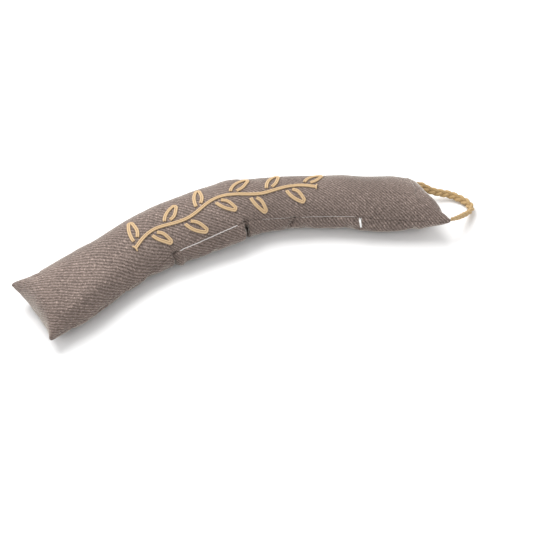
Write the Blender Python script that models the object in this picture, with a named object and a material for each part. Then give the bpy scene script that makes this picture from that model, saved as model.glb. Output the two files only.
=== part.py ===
"""Stuffed draught excluder: a twill tube with a couched leaf sprig, a plaited handle and a sewn-in tape.

Metres, +Z up, floor at Z = 0, front towards -Y. Along the tube, "station" runs from the left sewn end
to the right one; round it, "turn" is measured in degrees from the front seam, up over the top.
"""
import math

import bpy
from mathutils import Matrix, Vector

# ---- cover -------------------------------------------------------------------
COVER_LENGTH = 0.883        # down the middle, sewn edge to sewn edge
STATION_STEP = 0.0100       # spacing of the lofted sections
CREASE_STEP = 0.0045        # the same, inside a crease
SIDE_POINTS = 13            # ring points on each side between the seam's shoulder and the back
SEAM_SHOULDER = (0.010, 0.022)  # share of the way round, each side of the seam
SEAM_GROOVE = 0.0016        # how far the long seam is drawn in
SETTLE = 0.92               # centre height as a share of the half height, so the underside lies flat
EDGE_HALF = 0.0014          # half the thickness of a sewn end
CORNER_CUT = 0.0046         # rounding of the corners
CORNER_RUN = 0.0066
SKEW_RUN = 0.140            # over which the skew and the drawing-in of an end fade out

# heading of the middle line in plan, degrees left of +X
BEND = (
    # station, heading
    (0.000, 29.4),
    (0.050, 34.6),
    (0.120, 44.5),
    (0.220, 39.7),
    (0.280, 39.5),
    (0.330, 25.8),
    (0.400, 27.0),
    (0.450, 26.0),
    (0.500, 16.0),
    (0.550, 8.0),
    (0.600, 3.5),
    (0.660, 0.0),
    (0.740, -4.5),
    (0.810, 0.0),
    (0.883, 10.0),
)

# section of the stuffed body: half width, half height, and the height of the seam as a turn from level
BODY = (
    # station, half width, half height, seam turn
    (0.000, 0.0754, 0.0425, -4.0),
    (0.100, 0.0726, 0.0455, 1.0),
    (0.200, 0.0670, 0.0440, 2.0),
    (0.300, 0.0695, 0.0460, 10.0),
    (0.350, 0.0710, 0.0475, 15.0),
    (0.410, 0.0715, 0.0490, 19.0),
    (0.460, 0.0700, 0.0495, 21.0),
    (0.500, 0.0610, 0.0490, 20.5),
    (0.560, 0.0575, 0.0490, 20.0),
    (0.640, 0.0565, 0.0495, 18.5),
    (0.780, 0.0600, 0.0495, 17.0),
    (0.883, 0.0586, 0.0460, 7.0),
)

# how far the long seam lies off the line that it would keep on an even tube, in degrees of turn
SEAM_SLIDE = (
    # station, slide
    (0.000, 0.0),
    (0.040, -6.0),
    (0.100, -14.0),
    (0.200, -14.0),
    (0.250, -4.0),
    (0.290, 7.0),
    (0.320, 6.5),
    (0.360, 5.3),
    (0.440, 5.8),
    (0.475, 4.8),
    (0.500, 1.8),
    (0.530, -4.5),
    (0.585, -8.0),
    (0.640, -7.3),
    (0.728, -4.2),
    (0.780, -4.4),
    (0.840, -1.2),
    (0.883, 0.0),
)

# sewn ends: half the edge, its height, how far the front corner runs out past the middle, how far the
# middle is drawn in and how squarely, the run and power of the crown up to the full height, the run of
# the flare, and how far and over what run the corners stand out past the cloth beside them
LEFT_END = {
    "half": 0.0796,
    "height": 0.0385,
    "skew": -0.0075,
    "draw": 0.0127,
    "square": 2.84,
    "run": 0.024,
    "power": 0.51,
    "flare": 0.138,
    "ear": 0.0071,
    "ear_run": 0.0193,
}
RIGHT_END = {
    "half": 0.0706,
    "height": 0.0487,
    "skew": 0.0205,
    "draw": 0.0080,
    "square": 2.6,
    "run": 0.046,
    "power": 0.47,
    "flare": 0.095,
    "ear": 0.0084,
    "ear_run": 0.0168,
}

# creases: pulled in (or, below zero, puffed out) along a line round the tube
CREASES = (
    # station, turn, depth, half width along, half span round, lean per degree
    (0.177, -38.0, 0.0060, 0.006, 24.0, 0.0000),
    (0.306, -26.0, 0.0085, 0.007, 30.0, -0.0001),
    (0.324, -34.0, -0.0065, 0.009, 26.0, 0.0000),
    (0.476, -33.0, 0.0160, 0.006, 34.0, 0.0000),
    (0.460, -30.0, -0.0030, 0.012, 24.0, 0.0000),
    (0.494, -26.0, -0.0030, 0.012, 24.0, 0.0000),
    (0.585, -16.0, 0.0060, 0.006, 18.0, 0.0001),
    (0.110, -30.0, 0.0030, 0.020, 30.0, 0.0000),
    (0.240, -34.0, 0.0040, 0.012, 26.0, 0.0000),
    (0.845, -6.0, 0.0040, 0.008, 16.0, 0.0000),
)

# ---- couched sprig -----------------------------------------------------------
CORD_WIDTH = 0.0072         # two cords laid side by side
CORD_HEIGHT = 0.0032
CORD_GAP = 0.00045          # clear of the cloth
STEM = {"start": 0.232, "end": 0.640, "turn": 64.0, "wave": 0.0065, "pitch": 0.165}
STEM_STEP = 0.0075
LEAF_COUNT = 11
LEAF_FIRST = 0.246
LEAF_LAST = 0.622
LEAF_LEAN = 48.0            # degrees between a leaf and the stem
LEAF_SIZES = (0.037, 0.041, 0.035, 0.040, 0.036)   # lengths, taken in turn
LEAF_HALF = 0.0078          # middle of the cord from the leaf's axis at its widest
LEAF_TIP = 0.0042           # radius of the turn at the tip
LEAF_GAP = 0.0006           # between a leaf's feet and the stem
LEAF_SIDE_STEPS = 6
LEAF_TIP_STEPS = 6
AROUND_RADIUS = 0.0535      # mean radius of the tube, for arc lengths round it

# ---- plaited handle ----------------------------------------------------------
STRAND_RADIUS = 0.0034
PLAIT_HALF_WIDTH = 0.0046   # middle of a strand from the middle of the plait
PLAIT_HALF_DEPTH = 0.0017
PLAIT_PITCH = 0.045         # one strand across and back
PLAIT_STEP = 0.0038
PLAIT_POINTS = 16
HANDLE_GAP = 0.0003
HELD_SIZE = 0.56            # size of the plait where the corners hold it, as a share
HELD_BACK = 0.013           # run to its full size at the back corner
HELD_FRONT = 0.050
# route, from the back corner of the right end to the front one: out past the end's middle, towards the
# back, height, and the turn of the plait's flat side
HANDLE_ROUTE = (
    # out, back, height, roll
    (0.0101, 0.0553, 0.0230, 44.0),
    (0.0290, 0.0512, 0.0170, 42.0),
    (0.0499, 0.0464, 0.0125, 42.0),
    (0.0669, 0.0362, 0.0095, 44.0),
    (0.0806, 0.0215, 0.0085, 48.0),
    (0.0853, 0.0050, 0.0090, 52.0),
    (0.0766, -0.0111, 0.0130, 55.0),
    (0.0578, -0.0282, 0.0240, 58.0),
    (0.0363, -0.0489, 0.0410, 60.0),
)

# ---- sewn-in tape ------------------------------------------------------------
TAPE_STATION = 0.7335
TAPE_LENGTH = 0.0200
TAPE_DEPTH = 0.0090         # how far it stands off the cloth
TAPE_LAYER = 0.0015
TAPE_FORK = 0.0042          # where the two layers part under the seam
TAPE_SPREAD = 0.0018
TAPE_LEAN = 0.16            # towards the right end, for each unit that it hangs
TAPE_GAP = 0.0006


def smooth_row(rows, at):
    """The other columns of a table at a station, on a smooth curve through its rows."""
    last = len(rows) - 1
    at = min(max(at, rows[0][0]), rows[last][0])
    k = 0
    while k < last - 1 and at > rows[k + 1][0]:
        k += 1
    span = rows[k + 1][0] - rows[k][0]
    q = (at - rows[k][0]) / span
    found = []
    for column in range(1, len(rows[0])):
        here, there = rows[k][column], rows[k + 1][column]
        before, after = rows[max(k - 1, 0)], rows[min(k + 2, last)]
        slope_here = (there - before[column]) / (rows[k + 1][0] - before[0]) * span
        slope_there = (after[column] - here) / (after[0] - rows[k][0]) * span
        found.append(
            (2 * q**3 - 3 * q**2 + 1) * here
            + (q**3 - 2 * q**2 + q) * slope_here
            + (-2 * q**3 + 3 * q**2) * there
            + (q**3 - q**2) * slope_there
        )
    return found


def middle_line(step=0.0025):
    """Points of the middle line in plan, worked out from its headings."""
    count = round(COVER_LENGTH / step)
    step = COVER_LENGTH / count
    points = [Vector((0.0, 0.0))]
    for k in range(count):
        heading = math.radians(smooth_row(BEND, (k + 0.5) * step)[0])
        points.append(points[-1] + step * Vector((math.cos(heading), math.sin(heading))))
    return points, step


LINE, LINE_STEP = middle_line()


def plan_at(station):
    """Place and heading of the middle line at a station; it runs straight on past its ends."""
    place = station / LINE_STEP
    k = min(max(int(place), 0), len(LINE) - 2)
    heading = math.radians(smooth_row(BEND, station)[0])
    return LINE[k].lerp(LINE[k + 1], place - k), heading


def crown(distance, end):
    """Share of the full section at a distance from a sewn end."""
    q = min(max(distance / end["run"], 0.0), 1.0)
    return (1.0 - (1.0 - q) ** 2) ** end["power"]


def crease(station, turn):
    """How far the creases pull the cloth in at a place."""
    turn = (turn + 180.0) % 360.0 - 180.0
    depth = 0.0
    for at, level, pull, along, span, lean in CREASES:
        away = (station - at - lean * (turn - level)) / along
        round_it = (turn - level) / span
        depth += pull * math.exp(-away * away - round_it * round_it)
    return depth


def seam_slide(station, turn):
    """Degrees by which the cloth at a place is slid round the tube; none at the back and the underside."""
    turn = (turn + 180.0) % 360.0 - 180.0
    if abs(turn) > 90.0:
        return 0.0
    return smooth_row(SEAM_SLIDE, station)[0] * (0.5 + 0.5 * math.cos(math.radians(2.0 * turn)))


def cover_point(station, turn):
    """A point of the cover's surface; turn is in degrees from the seam, up over the top."""
    place, heading = plan_at(station)
    along = Vector((math.cos(heading), math.sin(heading)))
    back = Vector((-math.sin(heading), math.cos(heading)))
    half_width, half_height, seam_turn = smooth_row(BODY, station)
    left = station < COVER_LENGTH / 2
    end = LEFT_END if left else RIGHT_END
    distance = max(min(station, COVER_LENGTH - station), 0.0)
    grown = crown(distance, end)

    slid = turn + seam_slide(station, turn)
    angle = math.radians(slid)
    level = math.radians(slid + seam_turn)
    roll = math.radians(seam_turn)
    pull = crease(station, turn) * grown
    shoulder = 360.0 * SEAM_SHOULDER[1]
    from_seam = abs((turn + 180.0) % 360.0 - 180.0)
    pull += SEAM_GROOVE * max(0.0, 1.0 - from_seam / shoulder) ** 1.5 * grown
    body_back = -(half_width - pull) * math.cos(level)
    body_up = (half_height - pull) * math.sin(level)

    half_edge = end["half"] - end["ear"] + end["ear"] * math.exp(-((distance / end["ear_run"]) ** 2))
    q = min(distance / CORNER_RUN, 1.0)
    half_edge -= CORNER_CUT * (1.0 - math.sqrt(1.0 - (1.0 - q) ** 2))
    edge_back = -half_edge * math.cos(angle) * math.cos(roll) + EDGE_HALF * math.sin(angle) * math.sin(roll)
    edge_up = half_edge * math.cos(angle) * math.sin(roll) + EDGE_HALF * math.sin(angle) * math.cos(roll)

    wide = min(distance / end["flare"], 1.0)
    wide = wide * wide * (3.0 - 2.0 * wide)
    across = edge_back + wide * (body_back - edge_back)
    up = edge_up + grown * (body_up - edge_up)
    centre = end["height"] + grown * (SETTLE * half_height - end["height"])

    fade = (1.0 - min(distance / SKEW_RUN, 1.0)) ** 2
    lateral = max(-1.0, min(1.0, across / end["half"]))
    out = -lateral * end["skew"] - end["draw"] * (1.0 - abs(lateral) ** end["square"])
    out *= fade * (-1.0 if left else 1.0)
    flat = place + across * back + out * along
    return Vector((flat.x, flat.y, max(centre + up, 0.0)))


def cover_normal(station, turn):
    """Outward direction of the cover's surface, taken over the width of a cord."""
    ahead = cover_point(station + 0.003, turn) - cover_point(station - 0.003, turn)
    up = cover_point(station, turn + 3.0) - cover_point(station, turn - 3.0)
    return ahead.cross(up).normalized()


def stations():
    """Places of the lofted sections, closer together inside the sharp creases and near the ends."""
    sharp = [(row[0], 2.2 * row[3]) for row in CREASES if row[3] < 0.0075]
    near = [0.0, 0.0015, 0.0045, 0.0090, 0.0150]
    found = list(near)
    while True:
        here = found[-1]
        step = STATION_STEP
        for at, reach in sharp:
            if abs(here + step / 2 - at) < reach:
                step = CREASE_STEP
        if here + step > COVER_LENGTH - near[-1] - 0.004:
            break
        found.append(here + step)
    return found + [COVER_LENGTH - value for value in reversed(near)]


def ring_turns():
    """Turns of a section's points: the seam, its shoulders, and even steps to the back line."""
    half = [0.0, *SEAM_SHOULDER]
    step = (0.5 - SEAM_SHOULDER[1]) / (SIDE_POINTS + 1)
    half += [SEAM_SHOULDER[1] + step * (k + 1) for k in range(SIDE_POINTS)]
    share = half + [0.5] + [1.0 - value for value in reversed(half[1:])]
    return [360.0 * value for value in share]


def loft(rings):
    """Points and faces of a closed body through rings of equally many points, capped side to side."""
    count = len(rings[0])
    points = [point for ring in rings for point in ring]
    faces = []
    for k in range(len(rings) - 1):
        for i in range(count):
            j = (i + 1) % count
            a, b = k * count + i, k * count + j
            faces.append((a, a + count, b + count, b))
    return points, faces


def fan_cap(faces, first, count, flip):
    """Close a convex ring with triangles from its first point."""
    for i in range(1, count - 1):
        corner = (first, first + i, first + i + 1)
        faces.append(corner[::-1] if flip else corner)


def ladder_cap(faces, first, count, flip):
    """Close a thin ring by joining its upper side to its lower side."""
    half = count // 2
    for i in range(half):
        a, b = first + i, first + i + 1
        c, d = first + (count - i - 1) % count, first + (count - i) % count
        corner = (a, b, c, d) if c != b else (a, b, d)
        if i == 0:
            corner = (a, b, c)
        faces.append(corner[::-1] if flip else corner)


def material(name, colour, roughness):
    made = bpy.data.materials.new(name)
    made.use_nodes = True
    shader = made.node_tree.nodes["Principled BSDF"]
    shader.inputs["Base Color"].default_value = (*colour, 1.0)
    shader.inputs["Roughness"].default_value = roughness
    made.diffuse_color = (*colour, 1.0)
    return made


def solid(name, points, faces, surface, group):
    """A named object from points and faces, split into triangles."""
    mesh = bpy.data.meshes.new(name)
    mesh.from_pydata([tuple(point) for point in points], [], faces)
    mesh.materials.append(surface)
    mesh.validate()
    mesh.update()
    made = bpy.data.objects.new(name, mesh)
    group.objects.link(made)
    return made


def cover_body():
    turns = ring_turns()
    rings = [[cover_point(station, turn) for turn in turns] for station in stations()]
    points, faces = loft(rings)
    count = len(turns)
    ladder_cap(faces, 0, count, False)
    ladder_cap(faces, len(points) - count, count, True)
    return points, faces


def on_cover(along, around):
    """Point and normal of the cover at a station and an arc length up from the seam."""
    turn = math.degrees(around / AROUND_RADIUS)
    return cover_point(along, turn), cover_normal(along, turn)


def cord_profile():
    """Section of two cords side by side: offset across and height, from the left foot over the top."""
    half = CORD_WIDTH / 2
    return (
        (-0.92 * half, 0.0),
        (-half, 0.45 * CORD_HEIGHT),
        (-0.52 * half, CORD_HEIGHT),
        (0.0, 0.66 * CORD_HEIGHT),
        (0.52 * half, CORD_HEIGHT),
        (half, 0.45 * CORD_HEIGHT),
        (0.92 * half, 0.0),
    )


def couched(route):
    """Points and faces of a cord sewn flat along a route of (station, arc length) pairs."""
    profile = cord_profile()
    placed = [on_cover(along, around) for along, around in route]
    rings = []
    for k, (point, normal) in enumerate(placed):
        before, after = placed[max(k - 1, 0)][0], placed[min(k + 1, len(placed) - 1)][0]
        ahead = (after - before).normalized()
        across = normal.cross(ahead).normalized()
        foot = point + CORD_GAP * normal
        rings.append([foot + offset * across + height * normal for offset, height in profile])
    points, faces = loft(rings)
    count = len(profile)
    end = len(points) - count
    for first, flip in ((0, False), (end, True)):
        for corner in ((0, 1, 2), (0, 2, 3), (0, 3, 6), (3, 4, 6), (4, 5, 6)):
            corner = tuple(first + value for value in corner)
            faces.append(corner[::-1] if flip else corner)
    return points, faces


def stem_around(along):
    """Arc length of the stem's middle above the seam."""
    phase = 2.0 * math.pi * (along - STEM["start"]) / STEM["pitch"]
    return math.radians(STEM["turn"]) * AROUND_RADIUS + STEM["wave"] * math.sin(phase)


def stem_route():
    count = round((STEM["end"] - STEM["start"]) / STEM_STEP)
    step = (STEM["end"] - STEM["start"]) / count
    return [(STEM["start"] + k * step, stem_around(STEM["start"] + k * step)) for k in range(count + 1)]


def leaf_shape(length, side):
    """A leaf's loop of cord about its own axis, from one foot round the tip to the other.

    The feet are slanted, so that both end along the stem's edge.
    """
    foot = CORD_WIDTH / 2 + 0.0006
    straight = length - LEAF_TIP
    slant = side / math.tan(math.radians(LEAF_LEAN))
    sides = []
    for k in range(LEAF_SIDE_STEPS + 1):
        q = k / LEAF_SIDE_STEPS
        belly = math.sin(math.pi * min(q, 1.0) ** 0.85)
        base = foot + (LEAF_TIP - foot) * q
        sides.append((straight * q, base + (LEAF_HALF - 0.5 * (foot + LEAF_TIP)) * belly))
    tip = []
    for k in range(1, LEAF_TIP_STEPS):
        angle = math.pi * (0.5 - k / LEAF_TIP_STEPS)
        tip.append((straight + LEAF_TIP * math.cos(angle), LEAF_TIP * math.sin(angle)))
    loop = sides + tip + [(x, -y) for x, y in reversed(sides)]
    return [(x - slant * y * max(0.0, 1.0 - x / straight) ** 2, y) for x, y in loop]


def leaf_route(index):
    """Route of one leaf, standing off the stem on alternate sides."""
    side = 1.0 if index % 2 == 0 else -1.0
    along = LEAF_FIRST + (LEAF_LAST - LEAF_FIRST) * index / (LEAF_COUNT - 1)
    slope = math.atan2(stem_around(along + 0.002) - stem_around(along - 0.002), 0.004)
    lean = slope + side * math.radians(LEAF_LEAN)
    away = CORD_WIDTH + LEAF_GAP
    start = (along - side * away * math.sin(slope), stem_around(along) + side * away * math.cos(slope))
    length = LEAF_SIZES[index % len(LEAF_SIZES)]
    return [
        (
            start[0] + x * math.cos(lean) - y * math.sin(lean),
            start[1] + x * math.sin(lean) + y * math.cos(lean),
        )
        for x, y in leaf_shape(length, side)
    ]


def spline(points, step):
    """Evenly spaced points on a smooth curve through the given ones."""
    fine = []
    last = len(points) - 1
    for k in range(last):
        p0, p1, p2, p3 = (points[min(max(k + d, 0), last)] for d in (-1, 0, 1, 2))
        for i in range(12):
            q = i / 12
            fine.append(
                0.5
                * (
                    2 * p1
                    + (p2 - p0) * q
                    + (2 * p0 - 5 * p1 + 4 * p2 - p3) * q**2
                    + (3 * p1 - p0 - 3 * p2 + p3) * q**3
                )
            )
    fine.append(points[-1])
    gone = [0.0]
    for a, b in zip(fine, fine[1:]):
        gone.append(gone[-1] + (b - a).to_3d().length)
    count = max(2, round(gone[-1] / step))
    even = []
    k = 0
    for i in range(count + 1):
        want = gone[-1] * i / count
        while k < len(gone) - 2 and gone[k + 1] < want:
            k += 1
        q = (want - gone[k]) / max(gone[k + 1] - gone[k], 1e-9)
        even.append(fine[k].lerp(fine[k + 1], min(max(q, 0.0), 1.0)))
    return even


def corner_end(turn, towards):
    """Where the plait's flat end stands, clear of a corner of the right end, and its direction."""
    corner = cover_point(COVER_LENGTH, turn)
    ahead = (towards - corner).normalized()
    half_end = 1.1 * HELD_SIZE * (PLAIT_HALF_WIDTH + STRAND_RADIUS)
    reach = 0.0
    for k in range(12):
        for j in range(-9, 10):
            offset = cover_point(COVER_LENGTH - 0.001 * k, turn + 3.0 * j) - corner
            if (offset - offset.dot(ahead) * ahead).length < half_end:
                reach = max(reach, offset.dot(ahead))
    return corner + (reach + HANDLE_GAP) * ahead, ahead


def handle_route():
    """Places and roll of the handle's middle line, as 4-vectors of point and roll."""
    place, heading = plan_at(COVER_LENGTH)
    along = Vector((math.cos(heading), math.sin(heading), 0.0))
    back = Vector((-math.sin(heading), math.cos(heading), 0.0))
    middle = Vector((place.x, place.y, 0.0))
    given = []
    for out, behind, height, roll in HANDLE_ROUTE:
        point = middle + out * along + behind * back + Vector((0.0, 0.0, height))
        given.append(Vector((*point, math.radians(roll))))
    first, first_ahead = corner_end(180.0, given[0].to_3d())
    last, last_ahead = corner_end(0.0, given[-1].to_3d())
    ends = (Vector((*first, given[0].w)), Vector((*last, given[-1].w)))
    route = spline([ends[0], *given, ends[1]], PLAIT_STEP)
    route[1] = Vector((*(first + PLAIT_STEP * first_ahead), route[1].w))
    route[-2] = Vector((*(last + PLAIT_STEP * last_ahead), route[-2].w))
    return route


def plait_reach(phase, angle):
    """How far the three strands reach from the plait's middle in one direction of its section."""
    reach = 0.0
    ray = (math.cos(angle), math.sin(angle))
    for strand in range(3):
        turn = phase + 2.0 * math.pi * strand / 3.0
        x = PLAIT_HALF_WIDTH * math.sin(turn)
        y = PLAIT_HALF_DEPTH * math.sin(2.0 * turn)
        ahead = x * ray[0] + y * ray[1]
        inside = STRAND_RADIUS**2 - (x * x + y * y - ahead * ahead)
        if inside > 0.0:
            reach = max(reach, ahead + math.sqrt(inside))
    return max(reach, 0.55 * STRAND_RADIUS)


def plaited():
    """Points and faces of the plait along its route, tapered a little where the corners hold it."""
    route = handle_route()
    rings = []
    gone = 0.0
    total = sum((b - a).to_3d().length for a, b in zip(route, route[1:]))
    for k, here in enumerate(route):
        before, after = route[max(k - 1, 0)], route[min(k + 1, len(route) - 1)]
        ahead = (after - before).to_3d().normalized()
        if k:
            gone += (here - route[k - 1]).to_3d().length
        level = Vector((0.0, 0.0, 1.0)).cross(ahead).normalized()
        turned = Matrix.Rotation(here.w, 3, ahead)
        wide = turned @ level
        deep = wide.cross(ahead)
        held = min(gone / HELD_BACK, (total - gone) / HELD_FRONT, 1.0)
        size = HELD_SIZE + (1.0 - HELD_SIZE) * held
        phase = 2.0 * math.pi * gone / PLAIT_PITCH
        ring = []
        for i in range(PLAIT_POINTS):
            angle = 2.0 * math.pi * i / PLAIT_POINTS
            reach = size * plait_reach(phase, angle)
            ring.append(here.to_3d() + reach * (math.cos(angle) * wide + math.sin(angle) * deep))
        rings.append(ring)
    points, faces = loft(rings)
    fan_cap(faces, 0, PLAIT_POINTS, False)
    fan_cap(faces, len(points) - PLAIT_POINTS, PLAIT_POINTS, True)
    return points, faces


def tape():
    """A narrow folded tape on edge below the seam, its two layers parting where the seam holds them."""
    half_fold = TAPE_LAYER
    outline = (
        (-TAPE_SPREAD - TAPE_LAYER, -0.0006),
        (-TAPE_SPREAD, 0.0003),
        (0.0, -TAPE_FORK),
        (TAPE_SPREAD, 0.0003),
        (TAPE_SPREAD + TAPE_LAYER, -0.0006),
        (half_fold, -TAPE_FORK - 0.0016),
        (1.15 * half_fold, -TAPE_LENGTH),
        (-1.15 * half_fold, -TAPE_LENGTH),
        (-half_fold, -TAPE_FORK - 0.0016),
    )
    near, far = [], []
    for along, down in outline:
        point, normal = on_cover(TAPE_STATION + along - TAPE_LEAN * down, down - 0.001)
        near.append(point + TAPE_GAP * normal)
        far.append(point + (TAPE_GAP + TAPE_DEPTH) * normal)
    points, faces = loft([near, far])
    count = len(outline)
    for first, flip in ((0, False), (count, True)):
        for corner in ((0, 1, 2), (0, 2, 8), (2, 3, 4), (2, 4, 5), (2, 5, 8), (5, 6, 7), (5, 7, 8)):
            corner = tuple(first + value for value in corner)
            faces.append(corner[::-1] if flip else corner)
    return points, faces


def main():
    for item in list(bpy.data.objects):
        bpy.data.objects.remove(item)
    group = bpy.data.collections.new("draught_excluder")
    bpy.context.scene.collection.children.link(group)
    twill = material("taupe_twill", (0.235, 0.180, 0.155), 0.9)
    jute = material("jute_cord", (0.560, 0.375, 0.200), 0.85)
    plait = material("jute_plait", (0.480, 0.320, 0.165), 0.85)
    white = material("white_tape", (0.850, 0.850, 0.840), 0.6)

    made = [solid("cover", *cover_body(), twill, group)]
    made.append(solid("handle", *plaited(), plait, group))
    made.append(solid("sprig_stem", *couched(stem_route()), jute, group))
    for index in range(LEAF_COUNT):
        made.append(solid(f"leaf_{index + 1:02d}", *couched(leaf_route(index)), jute, group))
    made.append(solid("seam_tape", *tape(), white, group))

    boxed = [vertex.co for item in made if item.name != "handle" for vertex in item.data.vertices]
    low = Vector(min(point[k] for point in boxed) for k in range(3))
    high = Vector(max(point[k] for point in boxed) for k in range(3))
    centre = (low + high) / 2
    shift = Matrix.Translation((-centre.x, -centre.y, -low.z))
    for item in made:
        item.data.transform(shift)


main()
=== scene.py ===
"""Looks of a stuffed draught excluder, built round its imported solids.

Metres, +Z up, floor at Z = 0, front towards -Y. Along the tube, "station" runs from the left sewn end to
the right one; round it, "turn" is measured in degrees from the front seam, up over the top.
"""
import math
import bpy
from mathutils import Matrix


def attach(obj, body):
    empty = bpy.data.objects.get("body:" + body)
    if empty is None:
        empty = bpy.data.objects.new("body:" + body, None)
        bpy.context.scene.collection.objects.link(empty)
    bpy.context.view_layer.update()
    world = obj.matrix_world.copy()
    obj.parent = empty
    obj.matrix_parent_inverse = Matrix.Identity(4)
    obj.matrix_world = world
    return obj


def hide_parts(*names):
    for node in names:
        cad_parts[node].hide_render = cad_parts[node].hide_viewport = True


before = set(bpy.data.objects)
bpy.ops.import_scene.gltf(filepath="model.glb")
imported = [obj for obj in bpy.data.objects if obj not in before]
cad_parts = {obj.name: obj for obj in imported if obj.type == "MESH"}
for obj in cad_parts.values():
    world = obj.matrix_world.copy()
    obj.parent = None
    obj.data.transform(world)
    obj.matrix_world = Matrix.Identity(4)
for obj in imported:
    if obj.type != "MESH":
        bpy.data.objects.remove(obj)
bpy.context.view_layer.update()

from types import SimpleNamespace

import bmesh
import bpy
from bpy.props import FloatProperty, FloatVectorProperty, PointerProperty
from bpy.types import Operator, Panel, PropertyGroup
from mathutils import Matrix, Vector, noise
from mathutils.bvhtree import BVHTree

bl_info = {
    "name": "Draught excluder",
    "version": (1, 0, 0),
    "blender": (4, 5, 0),
    "location": "View3D > Sidebar > Excluder",
    "description": "Twill tube with a couched cord sprig, a plaited handle and a sewn-in tape",
    "category": "Object",
}

# ---- the cover's form, as its solid has it
LINE_START = Vector((-0.389369, -0.146467))
COVER_LENGTH = 0.883        # down the middle, sewn edge to sewn edge
SETTLE = 0.92               # centre height as a share of the half height
CORNER_CUT = 0.0046         # rounding of the corners
CORNER_RUN = 0.0066
SKEW_RUN = 0.140            # over which the skew and the drawing-in of an end fade out
BEND = (
    # station, heading in degrees left of +X
    (0, 29.4), (0.05, 34.6), (0.12, 44.5), (0.22, 39.7), (0.28, 39.5),
    (0.33, 25.8), (0.4, 27), (0.45, 26), (0.5, 16), (0.55, 8),
    (0.6, 3.5), (0.66, 0), (0.74, -4.5), (0.81, 0), (0.883, 10),
)
BODY = (
    # station, half width, half height, seam turn
    (0, 0.0754, 0.0425, -4),
    (0.1, 0.0726, 0.0455, 1),
    (0.2, 0.067, 0.044, 2),
    (0.3, 0.0695, 0.046, 10),
    (0.35, 0.071, 0.0475, 15),
    (0.41, 0.0715, 0.049, 19),
    (0.46, 0.07, 0.0495, 21),
    (0.5, 0.061, 0.049, 20.5),
    (0.56, 0.0575, 0.049, 20),
    (0.64, 0.0565, 0.0495, 18.5),
    (0.78, 0.06, 0.0495, 17),
    (0.883, 0.0586, 0.046, 7),
)
SEAM_SLIDE = (
    # station, degrees of turn that the seam lies off its even line
    (0, 0), (0.04, -6), (0.1, -14), (0.2, -14), (0.25, -4), (0.29, 7),
    (0.32, 6.5), (0.36, 5.3), (0.44, 5.8), (0.475, 4.8), (0.5, 1.8), (0.53, -4.5),
    (0.585, -8), (0.64, -7.3), (0.728, -4.2), (0.78, -4.4), (0.84, -1.2), (0.883, 0),
)
LEFT_END = SimpleNamespace(
    half=0.0796, height=0.0385, skew=-0.0075, draw=0.0127, square=2.84, run=0.024,
    power=0.51, flare=0.138, ear=0.0071, ear_run=0.0193,
)
RIGHT_END = SimpleNamespace(
    half=0.0706, height=0.0487, skew=0.0205, draw=0.0080, square=2.6, run=0.046,
    power=0.47, flare=0.095, ear=0.0084, ear_run=0.0168,
)
CREASES = (
    # station, turn, depth, half width along, half span round, lean per degree
    (0.177, -38, 0.006, 0.006, 24, 0),
    (0.306, -26, 0.0085, 0.007, 30, -0.0001),
    (0.324, -34, -0.0065, 0.009, 26, 0),
    (0.476, -33, 0.016, 0.006, 34, 0),
    (0.46, -30, -0.003, 0.012, 24, 0),
    (0.494, -26, -0.003, 0.012, 24, 0),
    (0.585, -16, 0.006, 0.006, 18, 0.0001),
    (0.11, -30, 0.003, 0.02, 30, 0),
    (0.24, -34, 0.004, 0.012, 26, 0),
    (0.845, -6, 0.004, 0.008, 16, 0),
)
SEAM_GROOVE = 0.0016
SEAM_REACH = 8.0            # degrees of turn each side of the seam
SEAM_DRAW = 0.0011          # how far the sewing draws the seam in further
END_RISE = 0.060            # reach from a sewn end over which the cloth rises to its full height
HELD_END = 0.050            # reach from a sewn end over which the cloth keeps its cut form
HOLLOW_FULL = 0.007         # depth of a fold that is in full shadow

# sharper folds, pulled in after the cover is stuffed
FOLDS = (
    # station, turn, depth, half width along, half span round, lean per degree
    (0.297, -12, 0.0046, 0.0028, 15, 0.00086),
    (0.309, -22, -0.0012, 0.008, 16, 0.0005),
    (0.4765, -47, 0.0095, 0.0032, 24, 0.0001),
    (0.474, -12, 0.0034, 0.0024, 14, -0.0002),
    (0.488, -26, -0.0022, 0.006, 20, 0.0001),
    (0.467, -26, -0.0016, 0.005, 20, 0.0001),
    (0.59, -13, 0.005, 0.0028, 20, 0.0003),
    (0.601, -20, -0.0016, 0.006, 18, 0.0003),
    (0.872, 68, -0.0038, 0.014, 13, 0),
    (0.882, 45, 0.0032, 0.01, 6, 0),
    (0.178, -22, 0.0026, 0.0035, 26, 0),
)

# where the filling pushes the cloth further out, or lets it sink
SWELLS = (
    # station, turn, depth, half width along, half span round, lean per degree
    (0.486, 122, -0.0048, 0.026, 34, 0),
    (0.64, 122, 0.0024, 0.06, 34, 0),
    (0.74, 122, 0.0026, 0.045, 34, 0),
    (0.02, 20, -0.0034, 0.02, 13, 0),
    (0.06, 42, -0.0044, 0.03, 14, 0),
    (0.125, 49, -0.0062, 0.045, 15, 0),
    (0.2, 54, -0.0046, 0.038, 16, 0),
    (0.845, 132, -0.002, 0.018, 26, 0),
    (0.17, -62, -0.002, 0.09, 26, 0),
    (0.205, -58, -0.0018, 0.012, 24, 0),
    (0.236, -56, -0.0026, 0.012, 24, 0),
    (0.6, -56, -0.0038, 0.014, 26, 0),
    (0.8, -62, -0.0016, 0.06, 26, 0),
)

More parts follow.
